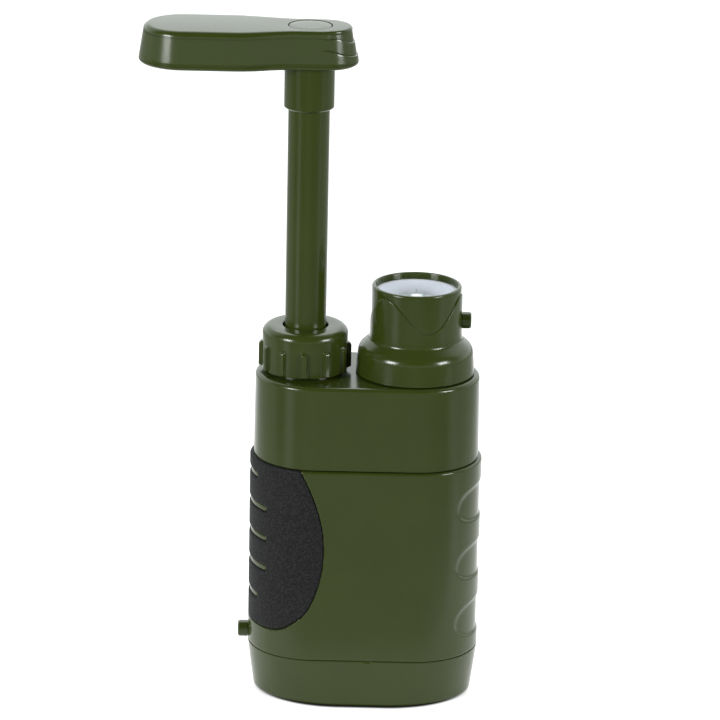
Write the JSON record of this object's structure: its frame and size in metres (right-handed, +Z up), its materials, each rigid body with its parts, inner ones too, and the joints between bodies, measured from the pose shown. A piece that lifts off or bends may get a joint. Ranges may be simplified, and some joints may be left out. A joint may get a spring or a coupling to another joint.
{
  "type": "pump water filter",
  "caption": "Hand-pumped camping water filter: flat pill-shaped case with rubber grip, sliding pump rod with swivelling handle, and screw-on turret with spout and compass.",
  "frame": {"origin": "centre of the flat base, on the surface that the filter stands on", "axes": "+Z up along the pump's stroke, +X from the pump towards the compass turret, -Y the front"},
  "size_m": [0.1208, 0.0456, 0.2398],
  "materials": {
    "olive_shell": "glossy moulded ABS, olive green",
    "black_rubber": "fine-grained soft rubber",
    "dark_plastic": "moulded nylon, near black",
    "white_plastic": "white moulded plastic",
    "clear_plastic": "milky polypropylene",
    "lens": "clear acrylic",
    "dial": "pale green printed card",
    "needle": "painted steel, one half red",
    "brass": "turned brass",
    "steel": "stainless steel",
    "seal_rubber": "nitrile rubber",
    "carbon": "pressed activated carbon",
    "membrane": "hollow-fibre bundle",
    "felt": "filter felt",
    "resin": "potting resin"
  },
  "bodies": {
    "base": {"bottom_cover": "olive_shell"},
    "case": {"grip_sleeve": "olive_shell", "rubber_grip": "black_rubber", "upper_housing": "olive_shell", "pump_cylinder": "clear_plastic", "cylinder_seal": "seal_rubber", "valve_block": "dark_plastic", "block_screws": "steel", "inlet_valve_plate": "dark_plastic", "outlet_valve_plate": "dark_plastic", "inlet_spout": "olive_shell", "cartridge_shell": "clear_plastic", "cartridge_foot": "white_plastic", "cartridge_head": "white_plastic", "nipple_seal": "seal_rubber", "intake_screen": "steel", "prefilter_pad": "felt", "carbon_block": "carbon", "middle_pad": "felt", "membrane_bundle": "membrane", "potting_disc": "resin"},
    "gland": {"rod_guide": "dark_plastic", "guide_seal": "seal_rubber", "rod_seal": "seal_rubber"},
    "nut": {"gland_nut": "olive_shell"},
    "pump": {"piston_rod": "olive_shell", "rod_foot_plug": "brass", "rod_head_plug": "brass", "piston": "dark_plastic", "piston_seal": "seal_rubber", "piston_screw": "steel", "handle_screw": "steel"},
    "handle": {"handle_base": "olive_shell", "handle_washer": "white_plastic", "handle_shell": "olive_shell", "handle_plug": "olive_shell"},
    "turret_ring": {"turret_seal": "seal_rubber"},
    "turret": {"turret_cap": "olive_shell", "outlet_spout": "olive_shell", "compass_cup": "white_plastic", "compass_card": "dial", "needle_pivot": "brass", "compass_lens": "lens"},
    "needle": {"compass_needle": "needle"},
    "inlet_valve": {"inlet_ball": "white_plastic"},
    "outlet_valve": {"outlet_ball": "white_plastic"}
  },
  "joints": [
    {"name": "pump_stroke", "type": "slide", "parent": "case", "child": "pump", "axis": [0, 0, 1], "range_m": [-0.077, 0]},
    {"name": "handle_swivel", "type": "hinge", "parent": "pump", "child": "handle", "pos_m": [-0.0219, 0, 0.23], "axis": [0, 0, 1], "continuous": true},
    {"name": "gland_nut_turn", "type": "hinge", "parent": "gland", "child": "nut", "pos_m": [-0.0219, 0, 0.125], "axis": [0, 0, 1], "range_deg": [0, 540]},
    {"name": "gland_rise", "type": "slide", "parent": "case", "child": "gland", "axis": [0, 0, 1], "range_m": [0, 0.0061]},
    {"name": "turret_turn", "type": "hinge", "parent": "turret_ring", "child": "turret", "pos_m": [0.0164, 0, 0.125], "axis": [0, 0, 1], "range_deg": [0, 540]},
    {"name": "turret_rise", "type": "slide", "parent": "case", "child": "turret_ring", "axis": [0, 0, 1], "range_m": [0, 0.0061]},
    {"name": "compass_turn", "type": "hinge", "parent": "turret", "child": "needle", "pos_m": [0.0164, 0, 0.1434], "axis": [0, 0, 1], "continuous": true},
    {"name": "inlet_valve_lift", "type": "slide", "parent": "case", "child": "inlet_valve", "axis": [0, 0, 1], "range_m": [0, 0.002]},
    {"name": "outlet_valve_lift", "type": "slide", "parent": "case", "child": "outlet_valve", "axis": [0, 0, 1], "range_m": [0, 0.002]},
    {"name": "base_cover_release", "type": "slide", "parent": "base", "child": "case", "axis": [0, 0, 1], "range_m": [0, 0.03]}
  ],
  "couplings": [
    {"joint": "gland_rise", "follows": "gland_nut_turn", "m_per_rad": 0.00063662},
    {"joint": "turret_rise", "follows": "turret_turn", "m_per_rad": 0.00063662}
  ]
}
